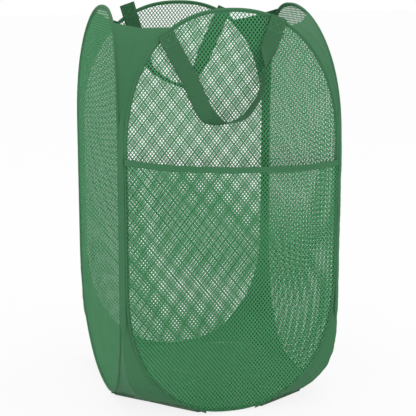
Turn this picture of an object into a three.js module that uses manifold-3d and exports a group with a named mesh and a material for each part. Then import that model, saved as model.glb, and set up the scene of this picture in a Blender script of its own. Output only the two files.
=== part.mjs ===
// Pop up laundry hamper, in millimetres, +Z up.
// Four oval hoops of spring wire run in fabric sleeves and are filled with net. They stand in a square,
// are seamed together down the corners, and are closed by fabric gussets and a fabric floor. The front
// has a net pocket with a bound mouth, and the front and back rims each carry a webbing handle.
// The origin is on the ground, in the middle of the square. The front looks towards -Y.
import * as THREE from "three";
import { mergeVertices } from "three/addons/utils/BufferGeometryUtils.js";
import Module from "manifold-3d";

const wasm = await Module();
wasm.setup();

// Whole hamper
const overallWidth = 343;
const overallHeight = 610;
const clearance = 0.3;
const overrun = 5;

// Spring wire, and the ferrule that joins its ends
const wireDiameter = 2;
const wireEndGap = 3;
const ferruleBore = 2.6;
const ferruleOuterDiameter = 3.3;
const ferruleLength = 20;

// Fabric sleeve round the wire, seen in section
const sleeveFabric = 0.8;
const sleeveWidth = 11;
const channelHalf = ferruleOuterDiameter / 2 + clearance;
const sleeveThickness = 2 * (channelHalf + sleeveFabric);
const sleeveFold = sleeveThickness / 4;

// Floor
const floorThickness = 1;

// Corner seams, which are the folding hinges
const seamRadius = 1.6;
const seamReachShare = 0.25;

// Where the panels stand
const hingeHalf = overallWidth / 2 - sleeveThickness - clearance;
const panelMiddle = hingeHalf + clearance + sleeveThickness / 2;
const panelHalf = hingeHalf - seamRadius - clearance;
const panelFoot = floorThickness + clearance;

// Oval outline of a panel: straight sides and two rounded ends
const arcRise = 205;
const ovalPower = 2.25;
const upperSpring = overallHeight - arcRise;
const lowerSpring = panelFoot + arcRise;
const ferruleHeight = (upperSpring + lowerSpring) / 2;
const arcSteps = 18;
const sideSteps = 3;

// Inward curl of each rim and of the feet
const rimLean = { front: 16, right: 22, back: 22, left: 13 };
const footLean = 8;
const leanPower = 2.5;

// Net of the panels
const netThickness = 1;
const wireInset = sleeveFabric + clearance + ferruleOuterDiameter / 2;
const netInset = wireInset + ferruleOuterDiameter / 2 + clearance;
const netBorder = 3;
const netPitch = 84;
const netStrand = 5;

// Gussets at the corners
const gussetThickness = 0.8;
const frontRimCut = 78;
const backRimCut = 67;
const sideRimFrontCuts = { left: 84, right: 104 };
const sideRimBackCut = 104;
const gussetFootCut = 110;
const gussetDrawnInShare = 0.85;
const footSeamInsets = { frontLeft: 50, frontRight: 44, backRight: 44, backLeft: 26 };
const footSeamRise = 130;
const footSeamPower = 2.6;

// Front pocket
const pocketThickness = 1;
const pocketStandOff = 1.4;
const pocketEdgeInset = 4;
const pocketDepth = 18;
const pocketSlantShare = 0.3;
const pocketMouthLeft = 396;
const pocketMouthRight = 381;
const pocketMouthSag = 8;
const pocketBorder = 12;
const mouthBindingHeight = 9;
const mouthBindingThickness = 1.8;
const mouthSteps = 14;
const plainAbovePocket = 24;

// Webbing handles
const strapWidth = 25;
const strapThickness = 1.2;
const handleHingeDrop = 58;
const handleHingeHeight = overallHeight - handleHingeDrop;
const handleReach = { frontLeft: 88, frontRight: 53, backLeft: 64, backRight: 69 };
const handleSplayShares = { frontLeft: 0.516, frontRight: 0.418, backLeft: 0.418, backRight: 0.344 };
const tabLength = { frontLeft: 27, frontRight: 48, backLeft: 48, backRight: 56 };
const tabSteps = 6;
const strapGap = 0.5;
const handleDrop = { front: 104, back: 86 };
const handleSteps = 28;
const handleSquareEndShare = 0.12;
// Each row is a place along a handle: across, down, away from the panel and twist, as shares of the way
// from end to end, the drop, half the strap's width and a quarter turn.
const handleRouteShares = {
  front: [
    [0, 0, 0, 0],
    [0.155, 0.406, 0.03, 0],
    [0.3, 0.835, 0.2, 0.15],
    [0.384, 0.946, 0.6, 0.5],
    [0.494, 1, 1, 0.85],
    [0.681, 0.932, 1.12, 1],
    [0.791, 0.779, 1.12, 1],
    [0.862, 0.625, 1.05, 0.95],
    [0.9, 0.495, 0.95, 0.85],
    [0.93, 0.255, 0.5, 0.5],
    [1, 0, 0, 0],
  ],
  back: [
    [0, 0, 0, 0],
    [0.098, 0.366, 0.03, 0],
    [0.189, 0.7, 0.25, 0.3],
    [0.294, 0.912, 0.6, 0.65],
    [0.388, 1, 0.95, 0.9],
    [0.515, 0.95, 1.12, 1],
    [0.663, 0.837, 1.12, 1],
    [0.84, 0.622, 1, 0.85],
    [0.925, 0.314, 0.5, 0.5],
    [1, 0, 0, 0],
  ],
};

// Where the two ends of each handle cross its hinge line, how far they run sideways as a share of their
// rise, and how long their sewn tabs are from there.
function handleEnd(place, hand) {
  return { across: hand * handleReach[place], splay: handleSplayShares[place], tab: tabLength[place] };
}

const handleEnds = {
  front: [handleEnd("frontLeft", -1), handleEnd("frontRight", 1)],
  back: [handleEnd("backLeft", -1), handleEnd("backRight", 1)],
};

// Box and cross stitching on the handle tabs
const threadWidth = 0.9;
const threadThickness = 0.5;
const stitchMargin = 3;
const stitchLength = 19;
const stitchRise = 3.5;

// Colours
const fabricColour = 0x44784f;
const netColour = 0x509668;
const webbingColour = 0x3f7049;
const threadColour = 0x5d9a6c;
const steelColour = 0x8d9094;

// Turns a closed geometry into a solid that can be joined and cut.
function solidOf(geometry) {
  const bare = geometry.clone();
  bare.deleteAttribute("normal");
  bare.deleteAttribute("uv");
  const merged = mergeVertices(bare);
  return new wasm.Manifold(
    new wasm.Mesh({
      numProp: 3,
      vertProperties: merged.attributes.position.array,
      triVerts: new Uint32Array(merged.index.array),
    }),
  );
}

function geometryOf(solid) {
  const mesh = solid.getMesh();
  const geometry = new THREE.BufferGeometry();
  geometry.setAttribute("position", new THREE.BufferAttribute(mesh.vertProperties, 3));
  geometry.setIndex(new THREE.BufferAttribute(mesh.triVerts, 1));
  geometry.computeVertexNormals();
  return geometry;
}

// A closed skin over rings of points, all with the same even count. The two halves of a ring are the two
// faces of a sheet, and are cut into triangles alike. A looped skin joins its last ring to its first. Any
// other has its two ends filled straight across, from each point to the opposite one.
function loft(rings, looped) {
  const count = rings[0].length;
  const positions = rings.flat().flatMap((p) => [p.x, p.y, p.z]);
  const faces = [];
  const joins = looped ? rings.length : rings.length - 1;
  for (let i = 0; i < joins; i++) {
    const here = i * count;
    const next = ((i + 1) % rings.length) * count;
    for (let j = 0; j < count; j++) {
      const k = (j + 1) % count;
      if (j < count / 2) faces.push(here + j, next + j, next + k, here + j, next + k, here + k);
      else faces.push(here + j, next + j, here + k, next + j, next + k, here + k);
    }
  }
  if (!looped) {
    const last = (rings.length - 1) * count;
    for (let j = 0; j < count / 2 - 1; j++) {
      const k = count - 1 - j;
      faces.push(j, j + 1, k - 1, j, k - 1, k);
      faces.push(last + j, last + k - 1, last + j + 1, last + j, last + k, last + k - 1);
    }
  }
  const geometry = new THREE.BufferGeometry();
  geometry.setAttribute("position", new THREE.Float32BufferAttribute(positions, 3));
  geometry.setIndex(faces);
  geometry.computeVertexNormals();
  return geometry;
}

// A flat plate in the plane of a panel. Outline points are across and up, and y is its middle.
function plate(outline, thickness, y) {
  return plates([outline], thickness, y);
}

function plates(outlines, thickness, y) {
  const shapes = outlines.map((points) => new THREE.Shape(points.map(([u, z]) => new THREE.Vector2(u, z))));
  const geometry = new THREE.ExtrudeGeometry(shapes, { depth: thickness, bevelEnabled: false });
  geometry.rotateX(Math.PI / 2);
  geometry.translate(0, y + thickness / 2, 0);
  return geometry;
}

// How far a panel with this lean of the rim curls inwards at a height.
function leanAt(z, lean) {
  const up = Math.max(0, (z - upperSpring) / arcRise);
  const down = Math.max(0, (lowerSpring - z) / arcRise);
  return lean * up ** leanPower + footLean * down ** leanPower;
}

function curl(geometry, lean) {
  const position = geometry.attributes.position;
  for (let i = 0; i < position.count; i++) {
    position.setY(i, position.getY(i) + leanAt(position.getZ(i), lean));
  }
  geometry.computeVertexNormals();
  return geometry;
}

// Half width of the oval at a height.
function ovalHalfAt(z) {
  const past = Math.max(z - upperSpring, lowerSpring - z, 0);
  const share = Math.min(1, past / arcRise);
  return panelHalf * (1 - share ** ovalPower) ** (1 / ovalPower);
}

// Places round the oval, anticlockwise from the right side, each with its outward direction.
function ovalRing() {
  const ring = [];
  const bend = 2 / ovalPower;
  const arc = (turn, springHeight, rise) => {
    for (let i = 0; i <= arcSteps; i++) {
      const angle = turn + (Math.PI * i) / arcSteps;
      const across = i % arcSteps === 0 ? Math.sign(Math.cos(angle)) : Math.cos(angle);
      const up = i % arcSteps === 0 ? 0 : Math.sin(angle);
      const out = new THREE.Vector2(
        (Math.sign(across) * Math.abs(across) ** (2 - bend)) / panelHalf,
        (Math.sign(up) * Math.abs(up) ** (2 - bend)) / rise,
      ).normalize();
      ring.push({
        u: panelHalf * Math.sign(across) * Math.abs(across) ** bend,
        z: springHeight + rise * Math.sign(up) * Math.abs(up) ** bend,
        out,
      });
    }
  };
  const side = (sign, from, to) => {
    for (let i = 1; i < sideSteps; i++) {
      const z = from + ((to - from) * i) / sideSteps;
      ring.push({ u: sign * panelHalf, z, out: new THREE.Vector2(sign, 0) });
    }
  };
  arc(0, upperSpring, arcRise);
  side(-1, upperSpring, lowerSpring);
  arc(Math.PI, lowerSpring, arcRise);
  side(1, lowerSpring, upperSpring);
  return ring;
}

const oval = ovalRing();

function ovalInset(inset) {
  return oval.map(({ u, z, out }) => [u - inset * out.x, z - inset * out.y]);
}

// Carries a section round a stretch of the oval. Its points are inset from the edge and offset in y.
function followOval(places, section, looped, lean) {
  const rings = places.map(({ u, z, out }) =>
    section.map(
      ([inset, offset]) => new THREE.Vector3(u - inset * out.x, offset - panelMiddle, z - inset * out.y),
    ),
  );
  return curl(loft(rings, looped), lean);
}

function polygonSection(radius, sides, inset) {
  return Array.from({ length: sides }, (_, i) => {
    const angle = (2 * Math.PI * i) / sides;
    return [inset + radius * Math.cos(angle), radius * Math.sin(angle)];
  });
}

function sleeveGeometry(lean) {
  const outer = sleeveThickness / 2;
  const section = [
    [sleeveWidth, outer],
    [sleeveWidth, channelHalf],
    [sleeveFabric, channelHalf],
    [sleeveFabric, -channelHalf],
    [sleeveWidth, -channelHalf],
    [sleeveWidth, -outer],
    [sleeveFold, -outer],
    [0, -outer + sleeveFold],
    [0, outer - sleeveFold],
    [sleeveFold, outer],
  ];
  return followOval(oval, section.reverse(), true, lean);
}

// The wire starts and ends in the middle of the straight right side, inside the ferrule.
function wireGeometry(lean) {
  const end = (z) => ({ u: panelHalf, z, out: new THREE.Vector2(1, 0) });
  const places = [
    end(ferruleHeight + wireEndGap / 2),
    ...oval.slice(0, 1 - sideSteps),
    end(ferruleHeight - wireEndGap / 2),
  ];
  return followOval(places, polygonSection(wireDiameter / 2, 6, wireInset), false, lean);
}

function ferruleGeometry() {
  const end = ferruleLength / 2;
  const profile = [
    [ferruleBore / 2, -end],
    [ferruleOuterDiameter / 2, -end],
    [ferruleOuterDiameter / 2, end],
    [ferruleBore / 2, end],
    [ferruleBore / 2, -end],
  ].map(([r, along]) => new THREE.Vector2(r, along));
  const geometry = new THREE.LatheGeometry(profile, 12);
  geometry.rotateX(Math.PI / 2);
  geometry.translate(panelHalf - wireInset, -panelMiddle, ferruleHeight);
  return geometry;
}

// Diamond gaps over a rectangle, as outlines. Every second row is shifted by half a pitch.
function diamonds(halfWidth, low, high) {
  const reach = netPitch / 2 - netStrand / Math.SQRT2;
  const outlines = [];
  const rows = Math.ceil((high - low) / netPitch) * 2 + 2;
  const columns = Math.ceil(halfWidth / netPitch) + 1;
  for (let row = 0; row <= rows; row++) {
    const z = low + (row * netPitch) / 2;
    for (let column = -columns; column <= columns; column++) {
      const u = (column + (row % 2) / 2) * netPitch;
      outlines.push([
        [u + reach, z],
        [u, z + reach],
        [u - reach, z],
        [u, z - reach],
      ]);
    }
  }
  return outlines;
}

// A net sheet: a plate with the gaps that lie inside its border.
function netSheet(outline, inner, thickness, y, low, high) {
  const deep = thickness + 2 * overrun;
  const gaps = solidOf(plates(diamonds(panelHalf, low, high), deep, y));
  const inside = solidOf(plate(inner, deep + 2 * overrun, y));
  return geometryOf(solidOf(plate(outline, thickness, y)).subtract(gaps.intersect(inside)));
}

// The net has its gaps from one height up. Behind the pocket it is a plain sheet.
function panelNetGeometry(lean, gapsFrom) {
  const inner = ovalInset(sleeveWidth + netBorder).filter(([, z]) => z > gapsFrom);
  const sheet = netSheet(ovalInset(netInset), inner, netThickness, -panelMiddle, panelFoot, overallHeight);
  return curl(sheet, lean);
}

const pocketHalf = panelHalf - pocketEdgeInset;
const pocketPlane = panelMiddle + sleeveThickness / 2 + pocketStandOff + pocketThickness / 2;

// Height of the middle of the pocket's mouth binding.
function mouthHeight(u) {
  const along = (u / pocketHalf + 1) / 2;
  const sag = pocketMouthSag * (1 - (u / pocketHalf) ** 2);
  return THREE.MathUtils.lerp(pocketMouthLeft, pocketMouthRight, along) - sag;
}

// Height of the oval's lower edge.
function footHeight(u) {
  const share = Math.min(1, Math.abs(u) / panelHalf);
  return lowerSpring - arcRise * (1 - share ** ovalPower) ** (1 / ovalPower);
}

// How far the pocket lies in front of its flat plane: straight up from the curl of the foot to a mouth
// that stands out, with a flat front between two slanting sides.
function pocketBulge(u, z) {
  const foot = footHeight(u);
  const across = THREE.MathUtils.clamp((1 - Math.abs(u) / pocketHalf) / pocketSlantShare, 0, 1);
  const up = Math.max(0, (z - foot) / (mouthHeight(u) - foot));
  return THREE.MathUtils.lerp(-leanAt(foot, 0), pocketDepth * across, up);
}

// Outline of the pocket: down the left side, round the foot, up the right side and back along the mouth.
function pocketOutline(edgeInset, mouthDrop) {
  const half = panelHalf - edgeInset;
  const foot = oval
    .filter(({ z, out }) => z <= lowerSpring && (out.y < 0 || z === lowerSpring))
    .map(({ u, z, out }) => [u - edgeInset * out.x, z - edgeInset * out.y]);
  const mouth = [];
  for (let i = 0; i <= mouthSteps; i++) {
    const u = half - (2 * half * i) / mouthSteps;
    mouth.push([u, mouthHeight(u) - mouthDrop]);
  }
  return [...foot, ...mouth];
}

function pocketNetGeometry() {
  const drop = mouthBindingHeight / 2 + clearance;
  const outline = pocketOutline(pocketEdgeInset, drop);
  const inner = pocketOutline(pocketEdgeInset + pocketBorder, drop + pocketBorder);
  const low = panelFoot + netPitch / 4;
  const geometry = netSheet(outline, inner, pocketThickness, -pocketPlane, low, pocketMouthLeft);
  const position = geometry.attributes.position;
  for (let i = 0; i < position.count; i++) {
    const bulge = pocketBulge(position.getX(i), position.getZ(i));
    position.setY(i, position.getY(i) - bulge);
  }
  geometry.computeVertexNormals();
  return geometry;
}

function mouthBindingGeometry() {
  const rings = [];
  const tall = mouthBindingHeight / 2;
  const thick = mouthBindingThickness / 2;
  const plane = pocketPlane - pocketThickness / 2 + thick;
  for (let i = 0; i <= mouthSteps; i++) {
    const u = -pocketHalf + (2 * pocketHalf * i) / mouthSteps;
    const z = mouthHeight(u);
    const y = -plane - pocketBulge(u, z);
    rings.push([
      new THREE.Vector3(u, y - thick, z - tall),
      new THREE.Vector3(u, y - thick, z + tall),
      new THREE.Vector3(u, y + thick, z + tall),
      new THREE.Vector3(u, y + thick, z - tall),
    ]);
  }
  return loft(rings, false);
}

// A gusset is built for the corner between the front and the left panel, and is turned to the others.
// Each row runs from the front sleeve, by the seam in the middle, to the left sleeve. Leans are those of
// the two rims, and cuts are how far from the corner the gusset ends on them, the front one first.
function gussetGeometry(rows, leans) {
  const half = gussetThickness / 2 / Math.SQRT2;
  const rings = rows.map(({ ends, seam }) => {
    const [front, left] = ends;
    const line = [
      [front.cut, leanAt(front.z, leans[0]), front.z],
      [seam, seam, (front.z + left.z) / 2],
      [leanAt(left.z, leans[1]), left.cut, left.z],
    ];
    const quarter = (end) => end.map((value, i) => (value + line[1][i]) / 2);
    const points = [line[0], quarter(line[0]), line[1], quarter(line[2]), line[2]];
    const corner = (shift) =>
      points.map(([x, y, z]) => new THREE.Vector3(x + shift - panelMiddle, y + shift - panelMiddle, z));
    return [...corner(-half), ...corner(half).reverse()];
  });
  return loft(rings, false);
}

// How far from the corner the oval's edge runs, at its own places on one rounded end and at a last cut.
function gussetEdge(sign, mostCut) {
  const spring = sign > 0 ? upperSpring : lowerSpring;
  const cutOf = (u) => panelMiddle - u - clearance - gussetThickness / 2;
  const start = arcRise * seamReachShare;
  const edge = oval
    .filter(({ u, z }) => u > 0 && sign * (z - spring) > start && cutOf(u) < mostCut)
    .map(({ u, z }) => ({ z, cut: cutOf(u) }));
  const first = spring + sign * start;
  const half = panelMiddle - clearance - gussetThickness / 2 - mostCut;
  const last = spring + sign * arcRise * (1 - (half / panelHalf) ** ovalPower) ** (1 / ovalPower);
  edge.push({ z: first, cut: cutOf(ovalHalfAt(first)) }, { z: last, cut: mostCut });
  return edge.sort((a, b) => a.z - b.z);
}

// The same edge with more places in its last stretch, so that it has as many as its neighbour.
function edgeOf(edge, count) {
  const [before, last] = edge.slice(-2);
  const extra = count - edge.length;
  const between = Array.from({ length: extra }, (_, i) => ({
    z: THREE.MathUtils.lerp(before.z, last.z, (i + 1) / (extra + 1)),
    cut: THREE.MathUtils.lerp(before.cut, last.cut, (i + 1) / (extra + 1)),
  }));
  return [...edge.slice(0, -1), ...between, last];
}

function topGussetGeometry(cuts, leans) {
  const edges = cuts.map((cut) => gussetEdge(1, cut));
  const count = Math.max(edges[0].length, edges[1].length);
  const [front, left] = edges.map((edge) => edgeOf(edge, count));
  const rows = front.map((end, i) => {
    const ends = [end, left[i]];
    const drawn = leanAt((end.z + left[i].z) / 2, (leans[0] + leans[1]) / 2);
    const cut = (end.cut + left[i].cut) / 2;
    return { ends, seam: drawn + ((cut - drawn) * gussetDrawnInShare) / 2 };
  });
  return gussetGeometry(rows, leans);
}

function footGussetGeometry(inset) {
  const edge = gussetEdge(-1, gussetFootCut);
  edge.unshift({ z: panelFoot, cut: gussetFootCut });
  const rows = edge.map((end) => {
    const down = Math.max(0, 1 - (end.z - panelFoot) / footSeamRise);
    return { ends: [end, end], seam: gussetThickness + inset * down ** footSeamPower };
  });
  return gussetGeometry(rows, [0, 0]);
}

function cornerSeamGeometry() {
  const low = lowerSpring - arcRise * seamReachShare + clearance;
  const high = upperSpring + arcRise * seamReachShare - clearance;
  const geometry = new THREE.CylinderGeometry(seamRadius, seamRadius, high - low, 12);
  geometry.rotateX(Math.PI / 2);
  geometry.translate(-hingeHalf, -hingeHalf, (low + high) / 2);
  return geometry;
}

// The floor lies under the panels, with its corners cut to the foot gussets.
function floorGeometry() {
  const edge = panelMiddle - footLean + sleeveThickness / 2;
  const cut = panelMiddle - gussetFootCut;
  const { frontRight, backRight, backLeft, frontLeft } = footSeamInsets;
  const outline = [frontRight, backRight, backLeft, frontLeft].flatMap((inset, turn) => {
    const corner = panelMiddle - inset + gussetThickness;
    const quarter = [
      [-cut, -edge],
      [cut, -edge],
      [corner, -corner],
    ];
    return quarter.map(([x, y]) => {
      const point = new THREE.Vector2(x, y).rotateAround(new THREE.Vector2(), (turn * Math.PI) / 2);
      return [point.x, point.y];
    });
  });
  const shape = new THREE.Shape(outline.map(([x, y]) => new THREE.Vector2(x, y)));
  return new THREE.ExtrudeGeometry(shape, { depth: floorThickness, bevelEnabled: false });
}

// Distance of a handle strap's middle from the middle of its panel. Side is -1 outside and 1 inside.
const strapOffset = sleeveThickness / 2 + strapGap + strapThickness / 2;

// A place on the end of a strap that is sewn flat on the rim, across the strap and along it.
function tabPlace(end, across, along) {
  const tilt = Math.sign(end.across) * Math.atan(end.splay);
  return [
    end.across + across * Math.cos(tilt) + along * Math.sin(tilt),
    handleHingeHeight - across * Math.sin(tilt) + along * Math.cos(tilt),
  ];
}

function tabGeometry(side, end, lean) {
  const half = strapWidth / 2;
  const wide = half / Math.cos(Math.atan(end.splay));
  const root = handleHingeHeight + clearance / 2;
  const y = side * strapOffset - panelMiddle;
  const edge = (hand, share) => {
    const top = tabPlace(end, hand * half, end.tab);
    const u = THREE.MathUtils.lerp(end.across + hand * wide, top[0], share);
    const z = THREE.MathUtils.lerp(root, top[1], share);
    return (face) => new THREE.Vector3(u, y + (face * strapThickness) / 2, z);
  };
  const rings = [];
  for (let i = 0; i <= tabSteps; i++) {
    const left = edge(-1, i / tabSteps);
    const right = edge(1, i / tabSteps);
    rings.push([right(-1), left(-1), left(1), right(1)]);
  }
  return curl(loft(rings, false), lean);
}

function threadBar(from, to) {
  const a = new THREE.Vector2(...from);
  const b = new THREE.Vector2(...to);
  const along = b.clone().sub(a).setLength(threadWidth / 2);
  const aside = new THREE.Vector2(-along.y, along.x);
  const ends = [a.clone().sub(along), b.clone().add(along)];
  return [
    ends[0].clone().sub(aside).toArray(),
    ends[1].clone().sub(aside).toArray(),
    ends[1].clone().add(aside).toArray(),
    ends[0].clone().add(aside).toArray(),
  ];
}

function stitchGeometry(side, end, lean) {
  const half = strapWidth / 2 - stitchMargin;
  const top = end.tab - stitchMargin;
  const root = Math.max(top - stitchLength, half * end.splay + stitchRise);
  const corners = [
    tabPlace(end, -half, root),
    tabPlace(end, half, root),
    tabPlace(end, half, top),
    tabPlace(end, -half, top),
  ];
  const lines = [[0, 1], [1, 2], [2, 3], [3, 0], [0, 2], [1, 3]];
  const offset = strapOffset + strapThickness / 2 + strapGap + threadThickness / 2;
  const bars = lines.map(([a, b]) =>
    solidOf(plate(threadBar(corners[a], corners[b]), threadThickness, side * offset - panelMiddle)),
  );
  return curl(geometryOf(bars.reduce((whole, bar) => whole.add(bar))), lean);
}

// Straight-line reading of one column of a handle's route at a place along it.
function routeShare(shares, along, column) {
  const last = shares.length - 1;
  const row = Math.min(Math.floor(along * last), last - 1);
  return THREE.MathUtils.lerp(shares[row][column], shares[row + 1][column], along * last - row);
}

// The loop of a handle, which hangs from its two tabs and swings about a line just outside them.
function strapGeometry(name, side) {
  const [left, right] = handleEnds[name];
  const shares = handleRouteShares[name];
  const hang = handleHingeHeight - clearance / 2;
  const plane = side * strapOffset - panelMiddle;
  const route = new THREE.CatmullRomCurve3(
    shares.map(
      ([across, down, away]) =>
        new THREE.Vector3(
          THREE.MathUtils.lerp(left.across, right.across, across),
          plane + side * away * (strapWidth / 2),
          hang - down * handleDrop[name],
        ),
    ),
  );
  const out = new THREE.Vector3(0, side, 0);
  const rings = [];
  for (let i = 0; i <= handleSteps; i++) {
    const along = i / handleSteps;
    const middle = route.getPoint(along);
    const tangent = route.getTangent(along).setY(0).normalize();
    const flat = tangent.clone().cross(out);
    const level = new THREE.Vector3(1 / flat.x, 0, 0);
    const square = Math.max(0, 1 - Math.min(along, 1 - along) / handleSquareEndShare);
    const twist = (routeShare(shares, along, 3) * Math.PI) / 2;
    const across = flat.clone();
    if (square > 0) across.lerp(level, square);
    const wide = across.multiplyScalar(Math.cos(twist)).addScaledVector(out, Math.sin(twist));
    const thick = flat.multiplyScalar(-Math.sin(twist)).addScaledVector(out, Math.cos(twist));
    wide.multiplyScalar(strapWidth / 2);
    thick.multiplyScalar(strapThickness / 2);
    rings.push([
      middle.clone().add(wide).add(thick),
      middle.clone().sub(wide).add(thick),
      middle.clone().sub(wide).sub(thick),
      middle.clone().add(wide).sub(thick),
    ]);
  }
  return curl(loft(rings, false), rimLean[name]);
}

function finish(colour, roughness, metalness = 0) {
  return { color: colour, roughness, metalness };
}

const fabric = finish(fabricColour, 0.75);
const net = finish(netColour, 0.7);
const webbing = finish(webbingColour, 0.8);
const thread = finish(threadColour, 0.6);
const steel = finish(steelColour, 0.35, 1);

function piece(name, geometry, look) {
  const mesh = new THREE.Mesh(geometry, new THREE.MeshStandardMaterial(look));
  mesh.name = name;
  return mesh;
}

// One side of the hamper: its wire hoop, the ferrule, the sleeve and the net.
function sidePanel(name, turn, gapsFrom) {
  const group = new THREE.Group();
  group.rotation.z = turn;
  group.add(
    piece(`${name}_hoop_wire`, wireGeometry(rimLean[name]), steel),
    piece(`${name}_wire_ferrule`, ferruleGeometry(), steel),
    piece(`${name}_hoop_sleeve`, sleeveGeometry(rimLean[name]), fabric),
    piece(`${name}_net`, panelNetGeometry(rimLean[name], gapsFrom), net),
  );
  return group;
}

// What closes one corner: the seam, the upper gusset and the foot gusset.
function corner(name, turn, footInset, cuts, leans) {
  const group = new THREE.Group();
  group.rotation.z = turn;
  group.add(
    piece(`${name}_corner_seam`, cornerSeamGeometry(), fabric),
    piece(`${name}_top_gusset`, topGussetGeometry(cuts, leans), fabric),
    piece(`${name}_foot_gusset`, footGussetGeometry(footInset), fabric),
  );
  return group;
}

function handle(name, turn, side) {
  const group = new THREE.Group();
  group.rotation.z = turn;
  group.add(piece(`${name}_handle_strap`, strapGeometry(name, side), webbing));
  for (const end of handleEnds[name]) {
    const hand = end.across < 0 ? "left" : "right";
    group.add(
      piece(`${name}_handle_${hand}_tab`, tabGeometry(side, end, rimLean[name]), webbing),
      piece(`${name}_handle_${hand}_stitching`, stitchGeometry(side, end, rimLean[name]), thread),
    );
  }
  return group;
}

const quarterTurn = Math.PI / 2;
const hamper = new THREE.Group();
hamper.add(
  sidePanel("front", 0, pocketMouthLeft + plainAbovePocket),
  sidePanel("right", quarterTurn, 0),
  sidePanel("back", 2 * quarterTurn, 0),
  sidePanel("left", -quarterTurn, 0),
  corner(
    "front_left",
    0,
    footSeamInsets.frontLeft,
    [frontRimCut, sideRimFrontCuts.left],
    [rimLean.front, rimLean.left],
  ),
  corner(
    "front_right",
    quarterTurn,
    footSeamInsets.frontRight,
    [sideRimFrontCuts.right, frontRimCut],
    [rimLean.right, rimLean.front],
  ),
  corner(
    "back_right",
    2 * quarterTurn,
    footSeamInsets.backRight,
    [backRimCut, sideRimBackCut],
    [rimLean.back, rimLean.right],
  ),
  corner(
    "back_left",
    -quarterTurn,
    footSeamInsets.backLeft,
    [sideRimBackCut, backRimCut],
    [rimLean.left, rimLean.back],
  ),
  piece("floor_panel", floorGeometry(), fabric),
  piece("pocket_net", pocketNetGeometry(), net),
  piece("pocket_mouth_binding", mouthBindingGeometry(), fabric),
  handle("front", 0, -1),
  handle("back", 2 * quarterTurn, 1),
);

export default hamper;
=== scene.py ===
"""Looks for the pop up laundry hamper: net, sewn nylon, webbing and stitching round the CAD frame."""

import math

import bpy
import numpy as np
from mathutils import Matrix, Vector


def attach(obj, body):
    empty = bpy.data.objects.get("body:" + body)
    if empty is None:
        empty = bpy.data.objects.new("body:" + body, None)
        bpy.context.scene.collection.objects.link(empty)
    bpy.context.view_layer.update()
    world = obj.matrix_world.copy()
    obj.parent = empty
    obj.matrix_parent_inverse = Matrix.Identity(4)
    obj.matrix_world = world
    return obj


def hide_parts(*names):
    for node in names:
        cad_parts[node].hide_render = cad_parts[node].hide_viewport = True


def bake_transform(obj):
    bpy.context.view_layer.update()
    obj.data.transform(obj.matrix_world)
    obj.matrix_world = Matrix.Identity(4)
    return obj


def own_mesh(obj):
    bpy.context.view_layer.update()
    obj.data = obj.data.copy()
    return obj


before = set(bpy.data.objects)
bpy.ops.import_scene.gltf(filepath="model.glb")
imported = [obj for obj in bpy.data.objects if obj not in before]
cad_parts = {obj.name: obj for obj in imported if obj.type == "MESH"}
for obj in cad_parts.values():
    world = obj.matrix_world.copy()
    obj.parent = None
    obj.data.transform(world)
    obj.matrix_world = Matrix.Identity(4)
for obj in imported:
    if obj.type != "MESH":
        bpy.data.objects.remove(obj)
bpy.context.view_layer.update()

# Sizes that repeat those of the part's source, in metres
HEIGHT = 0.610
MID = 0.16875
HINGE = 0.1657
HALF = 0.1638
FOOT = 0.0013
RISE = 0.205
POWER = 2.25
UPPER = HEIGHT - RISE
LOWER = FOOT + RISE
RIM_LEAN = {"front": 0.016, "right": 0.022, "back": 0.022, "left": 0.013}
FOOT_LEAN = 0.008
LEAN_POWER = 2.5
TURN = {"front": 0.0, "right": math.pi / 2, "back": math.pi, "left": -math.pi / 2}
NORMAL = {n: Vector((math.sin(t), -math.cos(t), 0)) for n, t in TURN.items()}

# Turn of each corner from the front left one, and the sides after and before it
CORNERS = {
    "front_left": (0.0, "front", "left"),
    "front_right": (math.pi / 2, "right", "front"),
    "back_right": (math.pi, "back", "right"),
    "back_left": (-math.pi / 2, "left", "back"),
}

# Camera fitted to the photograph: angles in degrees, lengths in metres, and in pixels the photograph's
# size, focal length and centre
AZIMUTH, ELEVATION = -16.0, 12.03
DISTANCE = 1.884
TARGET = Vector((0, 0, 0.291))
PHOTO_SIZE = 416
FOCAL_LENGTH = 1171.5
PHOTO_CENTRE = (201.8, 204.5)
SENSOR_MM = 36
CLIP_NEAR, CLIP_FAR = 0.05, 50


def link(obj):
    bpy.context.collection.objects.link(obj)
    return obj


def aim(obj, direction):
    """Turns a camera or lamp to look along a direction."""
    obj.rotation_mode = "QUATERNION"
    obj.rotation_quaternion = direction.to_track_quat("-Z", "Y")


def make_camera():
    azimuth, elevation = math.radians(AZIMUTH), math.radians(ELEVATION)
    back = Vector((
        math.sin(azimuth) * math.cos(elevation),
        -math.cos(azimuth) * math.cos(elevation),
        math.sin(elevation),
    ))
    data = bpy.data.cameras.new("camera")
    data.sensor_width = SENSOR_MM
    data.lens = FOCAL_LENGTH * SENSOR_MM / PHOTO_SIZE
    data.shift_x = (PHOTO_SIZE / 2 - PHOTO_CENTRE[0]) / PHOTO_SIZE
    data.shift_y = (PHOTO_CENTRE[1] - PHOTO_SIZE / 2) / PHOTO_SIZE
    data.clip_start = CLIP_NEAR
    data.clip_end = CLIP_FAR
    camera = link(bpy.data.objects.new("camera", data))
    camera.location = TARGET + back * DISTANCE
    aim(camera, -back)
    bpy.context.scene.camera = camera


# Shape helpers
OCTAVES, OCTAVE_RATIO = 4, 1.87
SEED_SPREAD, WOBBLE, WOBBLE_RATE = 1.7, 2.1, 0.37
RIPPLE_MOST = 2.1


def lean(panel, z):
    """How far inwards a side curls at its rim and foot."""
    up = np.clip((z - UPPER) / RISE, 0, None)
    down = np.clip((LOWER - z) / RISE, 0, None)
    return RIM_LEAN[panel] * up**LEAN_POWER + FOOT_LEAN * down**LEAN_POWER


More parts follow.
